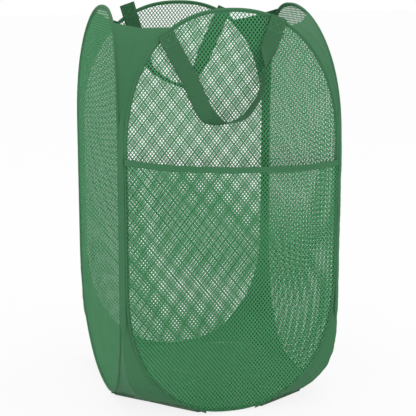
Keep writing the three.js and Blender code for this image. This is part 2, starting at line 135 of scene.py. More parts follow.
def turned(x, y, z, angle):
    c, s = math.cos(angle), math.sin(angle)
    return np.stack([x * c - y * s, x * s + y * c, z], -1)


def on_panel(panel, u, n, z):
    """Points in the frame from places across, outwards and up on a side."""
    u, n, z = np.broadcast_arrays(np.asarray(u, float), np.asarray(n, float), np.asarray(z, float))
    return turned(u, -(MID + n) + lean(panel, z), z, TURN[panel])


def oval(count):
    """Places round the hoop's outer edge, anticlockwise from the right side, with outward directions."""
    arc = count * 2 // 5
    side = (count - 2 * arc) // 2
    bend = 2 / POWER
    stretches = []
    for start, spring, end, sign in ((0.0, UPPER, LOWER, -1), (math.pi, LOWER, UPPER, 1)):
        a = start + math.pi * np.arange(arc) / arc
        c, s = np.cos(a), np.sin(a)
        out_u = np.sign(c) * np.abs(c) ** (2 - bend) / HALF
        out_z = np.sign(s) * np.abs(s) ** (2 - bend) / RISE
        length = np.hypot(out_u, out_z)
        u = HALF * np.sign(c) * np.abs(c) ** bend
        z = spring + RISE * np.sign(s) * np.abs(s) ** bend
        stretches.append(np.stack([u, z, out_u / length, out_z / length]))
        straight = spring + (end - spring) * np.arange(side) / side
        edge = np.ones(side)
        stretches.append(np.stack([sign * HALF * edge, straight, sign * edge, 0 * edge]))
    return np.concatenate(stretches, axis=1)


def half_at(z):
    """Half the width of the hoop at a height."""
    past = np.clip(np.maximum(z - UPPER, LOWER - z), 0, RISE) / RISE
    return HALF * (1 - past**POWER) ** (1 / POWER)


def foot_at(u):
    """Height of the hoop's foot at a place across."""
    share = np.clip(np.abs(u) / HALF, 0, 1)
    return LOWER - RISE * (1 - share**POWER) ** (1 / POWER)


def inside_oval(u, z, inset):
    past = np.clip(np.maximum(z - UPPER, LOWER - z), 0, None) / (RISE - inset)
    return (np.abs(u) / (HALF - inset)) ** POWER + past**POWER <= 1


def ripple(x, seed):
    """A repeatable wavy number from about -1 to 1."""
    out = 0.0
    for k in range(OCTAVES):
        wave = x * OCTAVE_RATIO**k
        wobble = WOBBLE * np.sin(wave * WOBBLE_RATE + seed)
        out = out + np.sin(wave + seed * (SEED_SPREAD + k) + wobble) / (k + 1)
    return out / RIPPLE_MOST


def run_along(points):
    """Length from the first point of a path to each of its points."""
    return np.concatenate([[0], np.cumsum(np.linalg.norm(np.diff(points, axis=0), axis=1))])


def mesh_object(name, points, faces, uv):
    mesh = bpy.data.meshes.new(name)
    points = np.asarray(points, float).reshape(-1, 3)
    faces = np.asarray(faces, np.int32)
    count, width = faces.shape
    mesh.vertices.add(len(points))
    mesh.vertices.foreach_set("co", points.astype(np.float32).ravel())
    mesh.loops.add(count * width)
    mesh.loops.foreach_set("vertex_index", faces.ravel())
    mesh.polygons.add(count)
    mesh.polygons.foreach_set("loop_start", np.arange(0, count * width, width, dtype=np.int32))
    mesh.polygons.foreach_set("loop_total", np.full(count, width, np.int32))
    mesh.update(calc_edges=True)
    layer = mesh.uv_layers.new(name="UVMap")
    layer.data.foreach_set("uv", np.asarray(uv, np.float32)[faces.ravel()].ravel())
    mesh.polygons.foreach_set("use_smooth", np.full(count, True))
    return link(bpy.data.objects.new(name, mesh))


def grid_faces(rows, columns, wrap_rows, wrap_columns):
    r = np.arange(rows if wrap_rows else rows - 1)
    c = np.arange(columns if wrap_columns else columns - 1)
    r, c = np.meshgrid(r, c, indexing="ij")
    next_r, next_c = (r + 1) % rows, (c + 1) % columns
    corners = [r * columns + c, r * columns + next_c, next_r * columns + next_c, next_r * columns + c]
    return np.stack(corners, -1).reshape(-1, 4)


def grid_object(name, points, uv, wrap_rows=False, wrap_columns=False):
    faces = grid_faces(*points.shape[:2], wrap_rows, wrap_columns)
    return mesh_object(name, points, faces, np.asarray(uv).reshape(-1, 2))


def grid_uv(first, second):
    return np.stack(np.broadcast_arrays(first, second), -1)


def paint(obj, material):
    obj.data.materials.clear()
    obj.data.materials.append(material)


# Materials, with lengths in metres
PLY_WEIGHT, WRINKLE_WEIGHT = 0.4, 2.0
CLOTH_BUMP_DEPTH = 0.0006
RIB_LENGTH, ROW_WIDTH, ROW_SLANT = 0.0016, 0.0032, 1.6
WEBBING_BUMP_DEPTH = 0.0004
STEEL_COLOUR = (0.45, 0.46, 0.48, 1)
STEEL_ROUGHNESS = (0.28, 0.45)


def srgb(r, g, b):
    def linear(v):
        v /= 255
        return v / 12.92 if v <= 0.04045 else ((v + 0.055) / 1.055) ** 2.4

    return (linear(r), linear(g), linear(b), 1)


class Nodes:
    """The node tree of a material or world, with short ways to add and join nodes."""

    def __init__(self, owner):
        owner.use_nodes = True
        self.owner = owner
        self.tree = owner.node_tree

    @classmethod
    def of_material(cls, name, **values):
        n = cls(bpy.data.materials.new(name))
        n.shader = n.tree.nodes["Principled BSDF"]
        n.set(n.shader, values)
        return n

    def set(self, node, values):
        for key, value in values.items():
            if key in node.inputs:
                node.inputs[key].default_value = value
            else:
                setattr(node, key, value)

    def add(self, kind, **values):
        node = self.tree.nodes.new(kind)
        self.set(node, values)
        return node

    def link(self, a, b):
        self.tree.links.new(a, b)

    def math(self, operation, *values):
        node = self.add("ShaderNodeMath", operation=operation)
        for socket, value in zip(node.inputs, values):
            if isinstance(value, (int, float)):
                socket.default_value = value
            else:
                self.link(value, socket)
        return node.outputs[0]

    def ramp(self, source, colours, positions=(0.0, 1.0)):
        ramp = self.add("ShaderNodeValToRGB")
        for element, colour, position in zip(ramp.color_ramp.elements, colours, positions):
            element.position = position
            element.color = colour
        self.link(source, ramp.inputs["Fac"])
        self.link(ramp.outputs["Color"], self.shader.inputs["Base Color"])

    def bump(self, height, strength, distance):
        node = self.add("ShaderNodeBump", Strength=strength, Distance=distance)
        self.link(height, node.inputs["Height"])
        self.link(node.outputs["Normal"], self.shader.inputs["Normal"])

    def noise(self, coords, **values):
        node = self.add("ShaderNodeTexNoise", **values)
        self.link(coords.outputs["Object"], node.inputs["Vector"])
        return node.outputs["Fac"]


def weave_height(n, source, pitch):
    """Height of a plain weave from two crossed waves, over coordinates in metres."""
    split = n.add("ShaderNodeSeparateXYZ")
    n.link(source, split.inputs[0])
    turns = [n.math("MULTIPLY", split.outputs[i], 2 * math.pi / pitch) for i in (0, 1)]
    return n.math("MULTIPLY", *[n.math("SINE", turn) for turn in turns])


def cloth_material(name, colours, roughness, pitch, bump, patch=9.0):
    """Woven cloth of two near colours in soft patches."""
    n = Nodes.of_material(name, **{"Roughness": roughness, "Specular IOR Level": 0.1})
    coords = n.add("ShaderNodeTexCoord")
    patches = n.noise(coords, Scale=patch, Detail=4.0, Roughness=0.6)
    n.ramp(patches, colours, positions=(0.3, 0.72))
    weave = n.math("MULTIPLY", weave_height(n, coords.outputs["UV"], pitch), PLY_WEIGHT)
    crumple = n.noise(coords, Scale=60.0, Detail=3.0, Roughness=0.55)
    wrinkle = n.math("MULTIPLY", crumple, WRINKLE_WEIGHT)
    n.bump(n.math("ADD", weave, wrinkle), strength=bump, distance=CLOTH_BUMP_DEPTH)
    return n.owner


def webbing_material(name, colours):
    """Webbing with slanting ribs in rows along the strap, with painted shade: darker in the grooves and
    lighter on the crests.
    """
    n = Nodes.of_material(
        name, **{"Roughness": 0.72, "Sheen Weight": 0.05, "Specular IOR Level": 0.15}
    )
    coords = n.add("ShaderNodeTexCoord")
    split = n.add("ShaderNodeSeparateXYZ")
    n.link(coords.outputs["UV"], split.inputs[0])
    along = n.math("MULTIPLY", split.outputs[0], 2 * math.pi / RIB_LENGTH)
    across = n.math("MULTIPLY", split.outputs[1], 2 * math.pi / ROW_WIDTH)
    slant = n.math("MULTIPLY", n.math("SINE", across), ROW_SLANT)
    ribs = n.math("SINE", n.math("ADD", along, slant))
    rows = n.math("ABSOLUTE", n.math("SINE", n.math("MULTIPLY", across, 0.5)))
    height = n.math("ADD", n.math("MULTIPLY", ribs, 0.5), rows)
    # Painted shade: the colour follows the rib height, dark in the grooves and light on the crests.
    n.ramp(n.math("MULTIPLY", n.math("ADD", height, 0.5), 0.5), colours)
    n.bump(height, strength=0.7, distance=WEBBING_BUMP_DEPTH)
    return n.owner


def steel_material():
    n = Nodes.of_material("spring_steel", **{"Base Color": STEEL_COLOUR, "Metallic": 1.0})
    coords = n.add("ShaderNodeTexCoord")
    low, high = STEEL_ROUGHNESS
    ramp = n.add("ShaderNodeMapRange", **{"To Min": low, "To Max": high})
    n.link(n.noise(coords, Scale=180.0, Detail=3.0), ramp.inputs["Value"])
    n.link(ramp.outputs["Result"], n.shader.inputs["Roughness"])
    return n.owner


NYLON_COLOURS = (srgb(64, 116, 80), srgb(70, 122, 86))
NET_COLOURS = (srgb(73, 144, 96), srgb(79, 150, 102))
# The floor's colours are paler than the nylon's as painted light: they make up for the shade that the nets
# cast inside, so the floor shows as bright as the outer cloth.
FLOOR_LIGHTENED_COLOURS = (srgb(104, 133, 111), srgb(110, 139, 117))
# The webbing's first colour is painted shade for its grooves; the second is its own colour on the crests.
WEBBING_GROOVE_SHADE_COLOURS = (srgb(52, 98, 66), srgb(66, 116, 80))
THREAD_COLOURS = (srgb(78, 134, 95), srgb(92, 152, 110))
nylon = cloth_material("nylon_fabric", NYLON_COLOURS, roughness=0.62, pitch=0.0009, bump=0.35)
net_cloth = cloth_material("open_net", NET_COLOURS, roughness=0.6, pitch=0.0008, bump=0.25, patch=14.0)
floor_lightened = cloth_material("floor_fabric_lightened", FLOOR_LIGHTENED_COLOURS, roughness=0.62, pitch=0.0009, bump=0.3)
webbing = webbing_material("webbing", WEBBING_GROOVE_SHADE_COLOURS)
thread = cloth_material("thread", THREAD_COLOURS, roughness=0.55, pitch=0.0006, bump=0.2)
steel = steel_material()


# Net: pitch of its diamonds, strand as a share of the pitch, and thickness
PITCH_ACROSS, PITCH_UP = 0.0058, 0.0073
STRAND_SHARE = 0.29
CORD = 0.00045
NET_INSET = 0.0045
SPARE_CELLS = 2
SLACK, SLACK_RATE_ACROSS, SLACK_RATE_UP = 0.0015, 5, 9


def lattice(keep, low, high, phase=(0.0, 0.0)):
    """Diamond cells with diamond holes, as places across and up, with the faces between them."""
    step, rise = PITCH_ACROSS / 2, PITCH_UP / 2
    columns = int(HALF / step) + SPARE_CELLS
    rows = int((high - low) / rise) + SPARE_CELLS
    key_width = rows + 1 + 2 * SPARE_CELLS

    def place(column, row):
        return column * step + phase[0], low + row * rise + phase[1]

    def key(column, row):
        return (column + columns + SPARE_CELLS) * key_width + row + SPARE_CELLS

    i, j = np.meshgrid(np.arange(-columns, columns + 1), np.arange(rows + 1), indexing="ij")
    kept = ((i + j) % 2 == 0) & keep(*place(i, j))
    i, j = i[kept], j[kept]
    keys = np.stack([key(i + 1, j), key(i, j + 1), key(i - 1, j), key(i, j - 1)], -1)
    crossings, outer = np.unique(keys, return_inverse=True)
    outer = outer.reshape(keys.shape)
    cross_u, cross_z = place(
        crossings // key_width - columns - SPARE_CELLS, crossings % key_width - SPARE_CELLS
    )
    wide, tall = step * (1 - STRAND_SHARE), rise * (1 - STRAND_SHARE)
    u, z = place(i, j)
    us = np.concatenate([cross_u, u + wide, u, u - wide, u])
    zs = np.concatenate([cross_z, z, z + tall, z, z - tall])
    faces = cell_faces(outer, len(crossings), len(us))
    face_sides = np.repeat([0.5, -0.5], len(us))
    return np.tile(us, 2), np.tile(zs, 2), face_sides, faces


def cell_faces(outer, crossing_count, point_count):
    """Front, back and hole faces of each cell, whose hole's points follow the crossings in four runs."""
    cells = np.arange(len(outer))
    faces = []
    for q in range(4):
        r = (q + 1) % 4
        inner_q = crossing_count + q * len(outer) + cells
        inner_r = crossing_count + r * len(outer) + cells
        front = np.stack([outer[:, q], outer[:, r], inner_r, inner_q], -1)
        back = np.stack([outer[:, q], inner_q, inner_r, outer[:, r]], -1) + point_count
        hole = np.stack([inner_q, inner_r, inner_r + point_count, inner_q + point_count], -1)
        faces.extend([front, back, hole])
    return np.concatenate(faces)


def panel_net(panel):
    u, z, face, faces = lattice(lambda a, b: inside_oval(a, b, NET_INSET), FOOT, HEIGHT)
    ease = np.clip(1 - (u / HALF) ** 2, 0, 1)
    slack = SLACK * ripple(z * SLACK_RATE_UP + u * SLACK_RATE_ACROSS, len(panel)) * ease
    points = on_panel(panel, u, face * CORD + slack, z)
    obj = mesh_object(f"{panel}_net_cloth", points, faces, np.stack([u, z], -1))
    paint(obj, net_cloth)
    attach(obj, panel)
    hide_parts(f"{panel}_net")


# Sleeves: the outer half of the section as inset and outward places, from the free edge to the rim
SLEEVE_SECTION = [
    (0.0062, 0.0005), (0.0054, 0.0008), (0.0048, 0.0006), (0.0043, 0.0013), (0.0036, 0.0022),
    (0.0024, 0.0026), (0.0010, 0.0021), (0.0002, 0.0010),
]
SLEEVE_STATIONS = 420
SLEEVE_SEEDS = {"front": 1.0, "right": 2.3, "back": 3.1, "left": 4.7}
PUCKER, PUCKER_RATE, PUCKER_SHARE = 0.00022, 420, 0.4
SWAY, SWAY_RATE = 0.0006, 35
SWAY_FROM, SWAY_SPAN = 0.0015, 0.005
STITCH_STATIONS = 500
STITCH_INSET, STITCH_OUT = 0.0051, 0.0009
STITCH_LENGTH, STITCH_GAP = 0.0026, 0.0012
STITCH_WIDTH, STITCH_HEIGHT = 0.0007, 0.0005
STITCH_PROFILE_SHARES = ((0, 0.15), (0.3, 1.0), (0.7, 1.0), (1, 0.15))


def sleeve(panel):
    """The fabric tube round the wire: a bead over the wire, then two plies stitched down on the net."""
    u, z, out_u, out_z = oval(SLEEVE_STATIONS)
    along = run_along(np.stack([u, z], -1))
    section = SLEEVE_SECTION + [(inset, -out) for inset, out in reversed(SLEEVE_SECTION)]
    girth = run_along(section)
    pucker = ripple(along * PUCKER_RATE, SLEEVE_SEEDS[panel]) * PUCKER
    sway = ripple(along * SWAY_RATE, SLEEVE_SEEDS[panel] + 2) * SWAY
    rows, uvs = [], []
    for (inset, out), round_place in zip(section, girth):
        share = np.clip((inset - SWAY_FROM) / SWAY_SPAN, 0, 1) / 2
        place = inset + sway * share
        n = out + np.sign(out) * pucker * (PUCKER_SHARE + share)
        rows.append(on_panel(panel, u - place * out_u, n, z - place * out_z))
        uvs.append(grid_uv(along, round_place))
    obj = grid_object(f"{panel}_sleeve_cloth", np.stack(rows, 1), np.stack(uvs, 1), True, True)
    paint(obj, nylon)
    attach(obj, panel)
    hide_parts(f"{panel}_hoop_sleeve")


def stitch_row(name, path, normal, length=STITCH_LENGTH, gap=STITCH_GAP):
    """Raised stitches along a path of points, each a small ridged bar facing along the normal."""
    run = run_along(path)

    def at(values, place):
        return np.array([np.interp(place, run, values[:, k]) for k in range(3)])

    points, faces = [], []
    for i in range(int(run[-1] // (length + gap))):
        place = i * (length + gap) + gap / 2
        start, end = at(path, place), at(path, place + length)
        up = at(normal, place)
        up /= np.linalg.norm(up)
        forward = (end - start) / np.linalg.norm(end - start)
        side = np.cross(up, forward) * STITCH_WIDTH / 2
        base = len(points)
        for share, lift in STITCH_PROFILE_SHARES:
            middle = start * (1 - share) + end * share
            points.extend([middle + side, middle + up * STITCH_HEIGHT * lift, middle - side])
        faces.extend(base + grid_faces(len(STITCH_PROFILE_SHARES), 3, False, False))
    return mesh_object(name, points, faces, np.zeros((len(points), 2)))


def facing(panel, side, path):
    """A side's outward or inward direction, once for each point of a path."""
    return np.tile(np.array(NORMAL[panel]) * side, (len(path), 1))


def sleeve_stitching(panel, side):
    u, z, out_u, out_z = np.hstack([oval(STITCH_STATIONS), oval(STITCH_STATIONS)[:, :1]])
    path = on_panel(panel, u - STITCH_INSET * out_u, side * STITCH_OUT, z - STITCH_INSET * out_z)
    face = "outside" if side > 0 else "inside"
    obj = stitch_row(f"{panel}_sleeve_stitching_{face}", path, facing(panel, side, path))
    paint(obj, thread)
    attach(obj, panel)


# Corners: how far gussets reach along the rims and the foot, and how their cloth lies
CORNER_STATIONS, CREASE_SOFT = 25, 0.12
TUCK = 0.0018
DRAWN_IN = 0.85
TOP_CUTS = {
    "front_left": (0.078, 0.084),
    "front_right": (0.104, 0.078),
    "back_right": (0.067, 0.104),
    "back_left": (0.104, 0.067),
}
TOP_SEEDS = {"front_left": 0.4, "front_right": 1.9, "back_right": 3.3, "back_left": 5.1}
TOP_ROWS, TOP_DIP = 48, 0.004
RIM_SAMPLES = 3000
FOLD, FOLD_RATE_UP, FOLD_RATE_ACROSS = 0.0006, 190, 2.2
BROAD, BROAD_RATE_UP, BROAD_RATE_ACROSS = 0.0012, 40, 3
TOP_UV_SHARE = 0.75
FOOT_CUT = 0.128
FOOT_SEEDS = {"front_left": 2.4, "front_right": 0.9, "back_right": 4.3, "back_left": 6.1}
FOOT_ROWS, FOOT_ROW_POWER = 60, 1.6
CORNER_LIFT = {"front_left": 0.012, "front_right": 0.006, "back_right": 0.006, "back_left": 0.004}
LIFT_HEIGHT = 0.06
SEAM_INSETS = {"front_left": 0.050, "front_right": 0.044, "back_right": 0.044, "back_left": 0.026}
SEAM_RISE, SEAM_POWER, SEAM_OUT = 0.130, 2.6, 0.0008
FAN, FAN_HEIGHT, FAN_RATE_UP, FAN_RATE_ACROSS = 0.0022, 0.11, 30, 11
FINE, FINE_RATE_UP, FINE_RATE_ACROSS = 0.0005, 160, 5
WELT_ROWS, WELT_SIDES = 300, 16
WELT_FOOT_SHARE, WELT_TOP_SHARE = 0.36, 0.3
WELT_WIDTH, WELT_WIDTH_BACK_LEFT, WELT_THICK = 0.0048, 0.0034, 0.0022
WELT_OUT, WELT_END, WELT_JOIN = 0.0012, 0.02, 0.03
WELT_WAVE_WIDE, WELT_WAVE_THICK, WELT_WAVE_RATE = 0.0002, 0.00018, 420
WELT_DRIFT, WELT_DRIFT_RATE = 0.0003, 60
WELT_UV_RADIUS = 0.003


def corner_points(corner, cut_a, cut_b, z_a, z_b, seam, z_seam):
    """Rows across a corner from one sleeve by the seam to the other, as places in from the corner."""
    _, panel_a, panel_b = CORNERS[corner]
    end_a = np.stack([cut_a, lean(panel_a, z_a), z_a], -1)
    end_b = np.stack([lean(panel_b, z_b), cut_b, z_b], -1)
    middle = np.stack([seam, seam, z_seam], -1)
    s = np.linspace(-1, 1, CORNER_STATIONS)
    most = math.sqrt(1 + CREASE_SOFT * CREASE_SOFT) - CREASE_SOFT
    w = (np.sqrt(s * s + CREASE_SOFT * CREASE_SOFT) - CREASE_SOFT) / most
    rows = [middle + ((end_a if s[k] < 0 else end_b) - middle) * w[k] for k in range(len(s))]
    return s[None, :], np.stack(rows, 1)


def place_corner(corner, local):
    return turned(local[..., 0] - MID, local[..., 1] - MID, local[..., 2], CORNERS[corner][0])


def attach_corner(obj):
    """Bakes a corner's cloth's placement into its mesh, tied to no body."""
    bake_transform(obj)


def corner_cloth(corner, piece, points, uv):
    """A corner's cloth, whole where a joint runs down the corner, else in two halves."""
    name = f"{corner}_{piece}_cloth"
    middle = points.shape[1] // 2
    halves = (("left", slice(0, middle + 1)), ("back", slice(middle, None)))
    if corner == "back_left":
        for body, cut in halves:
            obj = grid_object(f"{name}_{body}_half", points[:, cut].copy(), uv[:, cut].copy())
            paint(obj, nylon)
            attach(obj, body)
            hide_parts(f"{corner}_{piece}")
    else:
        obj = grid_object(name, points, uv)
        paint(obj, nylon)
        attach_corner(obj)
        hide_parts(f"{corner}_{piece}")


def rim_run(cut_most):
    """Places up a rim's outer edge, evenly along it, from half way up to where a gusset ends."""
    z = np.linspace(HEIGHT / 2, HEIGHT, RIM_SAMPLES)
    cut = MID - half_at(z)
    z, cut = z[cut < cut_most], cut[cut < cut_most]
    run = run_along(np.stack([z, cut], -1))
    even = np.linspace(0, run[-1], TOP_ROWS)
    return np.interp(even, run, z), np.interp(even, run, cut)


def crease_depth(corner, z, cut):
    """How far in from both sides the crease of an upper gusset lies."""
    _, a, b = CORNERS[corner]
    edge = (lean(a, z) + lean(b, z)) / 2
    return edge + (cut - edge) * DRAWN_IN / 2


def top_gusset(corner):
    (z_a, cut_a), (z_b, cut_b) = (rim_run(cut) for cut in TOP_CUTS[corner])
    z = (z_a + z_b) / 2
    cut = (cut_a + cut_b) / 2 + TUCK
    dip = TOP_DIP * np.linspace(0, 1, TOP_ROWS) ** 3
    seam = crease_depth(corner, z, cut)
    s, local = corner_points(corner, cut_a + TUCK, cut_b + TUCK, z_a, z_b, seam, z - dip)
    z, cut = z[:, None], cut[:, None]
    seed = TOP_SEEDS[corner]
    free = 1 - s**2
    fold = ripple(z * FOLD_RATE_UP + s * FOLD_RATE_ACROSS, seed) * FOLD * free
    broad = ripple(z * BROAD_RATE_UP - s * BROAD_RATE_ACROSS, seed + 1) * BROAD * free
    local[..., :2] += (fold + broad)[..., None]
    uv = grid_uv(s * cut * TOP_UV_SHARE, z)
    corner_cloth(corner, "top_gusset", place_corner(corner, local), uv)


def foot_gusset(corner):
    t = np.linspace(0, 1, FOOT_ROWS)
    z = FOOT + (HEIGHT / 2 - FOOT) * t**FOOT_ROW_POWER
    cut = np.minimum(MID - half_at(z), FOOT_CUT) + TUCK
    down = np.clip(1 - (z - FOOT) / SEAM_RISE, 0, 1)
    seam = SEAM_OUT + SEAM_INSETS[corner] * down**SEAM_POWER
    s, local = corner_points(corner, cut, cut, z, z, seam, z)
    z, cut = z[:, None], cut[:, None]
    seed = FOOT_SEEDS[corner]
    free = 1 - s**2
    low = np.clip(1 - (z - FOOT) / FAN_HEIGHT, 0, 1)
    fan = ripple(s * FAN_RATE_ACROSS + z * FAN_RATE_UP, seed) * FAN * low * free
    fine = ripple(z * FINE_RATE_UP + s * FINE_RATE_ACROSS, seed + 1) * FINE * free
    local[..., :2] += (np.abs(fan) + fine)[..., None]
    local[..., 2] += CORNER_LIFT[corner] * free * np.clip(1 - (z - FOOT) / LIFT_HEIGHT, 0, 1) ** 2
    corner_cloth(corner, "foot_gusset", place_corner(corner, local), grid_uv(s * cut, z))


def corner_seam(corner):
    """The sewn edge where two sleeves meet, a rolled welt that closes the gap between them."""
    low, high = LOWER - RISE * WELT_FOOT_SHARE, UPPER + RISE * WELT_TOP_SHARE
    z = np.linspace(low, high, WELT_ROWS)[:, None]
    angle = np.linspace(0, 2 * math.pi, WELT_SIDES, endpoint=False)
    seed = len(corner)
    wave = ripple(z * WELT_WAVE_RATE, seed)
    ends = np.clip(np.minimum(z - low, high - z) / WELT_END, 0, 1) ** 0.5
    half_width = WELT_WIDTH_BACK_LEFT if corner == "back_left" else WELT_WIDTH
    wide = (half_width + WELT_WAVE_WIDE * wave) * ends * np.cos(angle)
    thick = (WELT_THICK + WELT_WAVE_THICK * wave) * ends * np.sin(angle)
    crease = crease_depth(corner, z, MID - half_at(z) + TUCK)
    above = np.clip((z - UPPER) / WELT_JOIN, 0, 1)
    drift = WELT_DRIFT * ripple(z * WELT_DRIFT_RATE, seed)
    middle = (-HINGE - WELT_OUT) * (1 - above) + (crease - MID) * above + drift
    x = middle + (wide + thick) / math.sqrt(2)
    y = middle + (thick - wide) / math.sqrt(2)
    points = turned(x, y, np.broadcast_to(z, x.shape), CORNERS[corner][0])
    obj = grid_object(
        f"{corner}_seam_welt", points, grid_uv(z, angle * WELT_UV_RADIUS), wrap_columns=True
    )
    paint(obj, nylon)
    if corner == "back_left":
        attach(obj, "left")
    else:
        attach_corner(obj)
    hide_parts(f"{corner}_corner_seam")


# Floor: each quarter lies between two corners, and its hem rises at the hoop's foot
GORE_ENDS = {
    "front": ("front_left", "front_right"),
    "right": ("front_right", "back_right"),
    "back": ("back_right", "back_left"),
    "left": ("back_left", "front_left"),
}
FLOOR_LAP = 0.0012
FLOOR_EDGE = MID - FOOT_LEAN + FLOOR_LAP
FLOOR_COLUMNS = 65
HEM_SHARE, HEM_ROWS, FLOOR_ROWS = 0.12, 12, 25
HEM, HEM_RISE, HEM_END = 0.016, 0.0022, 0.008
TIP_LENGTH = 0.05
FLOOR_CLEAR, FLOOR_WAVE = 0.0010, 0.0008
FLOOR_RATE_ACROSS, FLOOR_RATE_IN, FLOOR_SEED = 30, 17, 1.2
FLAT_FROM, FLAT_SPAN, FLAT_LEAST_SHARE = 0.14, 0.05, 0.15


def floor_gore(panel):
    """A quarter of the fabric floor, from the foot of one side to the middle, rising to the sleeve's bead."""
    flat = MID - FOOT_CUT
    left, right = GORE_ENDS[panel]
    first, last = (MID - SEAM_INSETS[end] + SEAM_OUT for end in (left, right))
    border = np.array([(-first, first), (-flat, FLOOR_EDGE), (flat, FLOOR_EDGE), (last, last)])
    run = run_along(border)
    places = np.linspace(0, run[-1], FLOOR_COLUMNS)
    edge_u, edge_y = (np.interp(places, run, border[:, k])[None, :] for k in (0, 1))
    hem_rows = np.linspace(0, HEM_SHARE, HEM_ROWS)[:-1]
    t = np.concatenate([hem_rows, np.linspace(HEM_SHARE, 1, FLOOR_ROWS)])[:, None]
    u, y = edge_u * (1 - t), edge_y * (1 - t)
    beside = np.clip(1 - (np.abs(edge_u) - flat) / HEM_END, 0, 1)
    towards_left = CORNER_LIFT[left] * np.clip((-edge_u - flat) / (first - flat), 0, 1)
    towards_right = CORNER_LIFT[right] * np.clip((edge_u - flat) / (last - flat), 0, 1)
    tip = np.where(edge_u < 0, towards_left, towards_right)
    hem_lift = (foot_at(edge_u) + HEM_RISE) * beside * np.clip(1 - edge_y * t / HEM, 0, 1) ** 2
    tip_lift = tip * np.clip(1 - edge_y * t / TIP_LENGTH, 0, 1) ** 2
    wave = FLOOR_WAVE * (ripple(u * FLOOR_RATE_ACROSS + y * FLOOR_RATE_IN, FLOOR_SEED) + 1)
    wave = wave * np.clip((FLAT_FROM - y) / FLAT_SPAN, FLAT_LEAST_SHARE, 1)
    points = turned(u, -y, FLOOR_CLEAR + wave + hem_lift + tip_lift, TURN[panel])
    obj = grid_object(f"floor_cloth_{panel}", points, points[..., :2])
    # The floor is painted paler than the sides, as painted light against the shade inside the nets.
    paint(obj, floor_lightened)
    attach(obj, panel)
    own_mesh(obj)
    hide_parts("floor_panel")


# Pocket: its mouth's heights and how far it stands out. The binding's section is given up the band as a
# share of its half height, and outwards in metres.
MOUTH_LEFT, MOUTH_RIGHT, MOUTH_SAG = 0.396, 0.381, 0.008
POCKET_DEPTH, POCKET_OUT = 0.018, 0.0045
POCKET_EDGE_INSET = 0.004
POCKET_HALF = HALF - POCKET_EDGE_INSET
POCKET_SLANT_SHARE, POCKET_SOFT = 0.3, 0.02
POCKET_UP_MOST = 1.05
POCKET_PHASE = (0.0011, 0.0007)
MOUTH_GAP = 0.001
BINDING_HALF, BINDING_STATIONS = 0.0046, 160
BINDING_WAVE, BINDING_RATE, BINDING_SEED = 0.00018, 300, 2.0
BINDING_STITCH_OUT = 0.0010
BINDING_SECTION = [
    (-1.0, 0.0000), (-0.92, 0.0007), (-0.6, 0.0010), (-0.45, 0.0008), (0.0, 0.0011), (0.5, 0.0011),
    (0.92, 0.0009), (1.0, 0.0000), (0.92, -0.0009), (0.5, -0.0010), (0.0, -0.0010), (-0.6, -0.0009),
    (-0.92, -0.0006),
]


def mouth_height(u):
    along = (u / POCKET_HALF + 1) / 2
    sag = MOUTH_SAG * (1 - (u / POCKET_HALF) ** 2)
    return MOUTH_LEFT + (MOUTH_RIGHT - MOUTH_LEFT) * along - sag


def pocket_out(u, z):
    """How far the pocket stands in front of the curled panel: straight up from the foot to the mouth."""
    foot = foot_at(u)
    slant = (1 - np.abs(u) / POCKET_HALF) / POCKET_SLANT_SHARE
    across = np.clip(0.5 * (slant + 1 - np.sqrt((slant - 1) ** 2 + POCKET_SOFT)), 0, 1)
    up = np.clip((z - foot) / (mouth_height(u) - foot), 0, POCKET_UP_MOST)
    bulge = POCKET_DEPTH * across * up - lean("front", foot) * (1 - up)
    return POCKET_OUT + bulge + lean("front", z)


def in_pocket(u, z):
    return inside_oval(u, z, NET_INSET) & (z < mouth_height(u) - MOUTH_GAP)


def pocket_net():
    u, z, face, faces = lattice(in_pocket, FOOT, MOUTH_LEFT, POCKET_PHASE)
    points = on_panel("front", u, pocket_out(u, z) + face * CORD, z)
    obj = mesh_object("pocket_net_cloth", points, faces, np.stack([u, z], -1))
    paint(obj, net_cloth)
    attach(obj, "front")
    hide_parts("pocket_net")


def mouth_binding():
    u = np.linspace(-HALF, HALF, BINDING_STATIONS)
    z = mouth_height(u)
    out = pocket_out(u, z)
    wave = ripple(u * BINDING_RATE, BINDING_SEED) * BINDING_WAVE
    rows, uvs = [], []
    for share, n in BINDING_SECTION:
        rows.append(on_panel("front", u, out + n + wave * np.sign(n), z + share * BINDING_HALF))
        uvs.append(grid_uv(u, share * BINDING_HALF))
    obj = grid_object(
        "pocket_mouth_band", np.stack(rows, 1), np.stack(uvs, 1), wrap_columns=True
    )
    paint(obj, nylon)
    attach(obj, "front")
    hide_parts("pocket_mouth_binding")
    path = on_panel("front", u, out + BINDING_STITCH_OUT, z - BINDING_HALF / 2)
    stitches = stitch_row("pocket_mouth_stitching", path, facing("front", 1, path))
    paint(stitches, thread)
    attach(stitches, "front")


# Handles: the strap, how it lies off the side, and how far each loop hangs
HINGE_Z, STRAP, STRAP_THICK = 0.552, 0.025, 0.0012
RIM_THICK_HALF, RIM_CLEAR = 0.00275, 0.0005
OFFSET = RIM_THICK_HALF + RIM_CLEAR + STRAP_THICK / 2
DROP = {"front": 0.104, "back": 0.086}
TAB_END, TAB_STATIONS, ROUTE_STATIONS = 0.0015, 16, 140
STRAP_STATIONS, STRAP_EDGE_SHARE = 9, 0.35
TWIST_MOST = 1.05
BEND_ABOVE, BEND_BELOW = 0.002, 0.006
BOX_INSET, BOX_HEIGHT, BOX_CLEAR = 0.003, 0.019, 0.0035
BOX_STITCH, BOX_GAP, BOX_STATIONS, BOX_OUT = 0.0021, 0.0007, 12, 0.00005

# Across, splay in radians and tab length of each end
ENDS = {
    "front": ((-0.088, math.atan(0.516), 0.027), (0.053, math.atan(0.418), 0.048)),
    "back": ((-0.064, math.atan(0.418), 0.048), (0.069, math.atan(0.344), 0.056)),
}

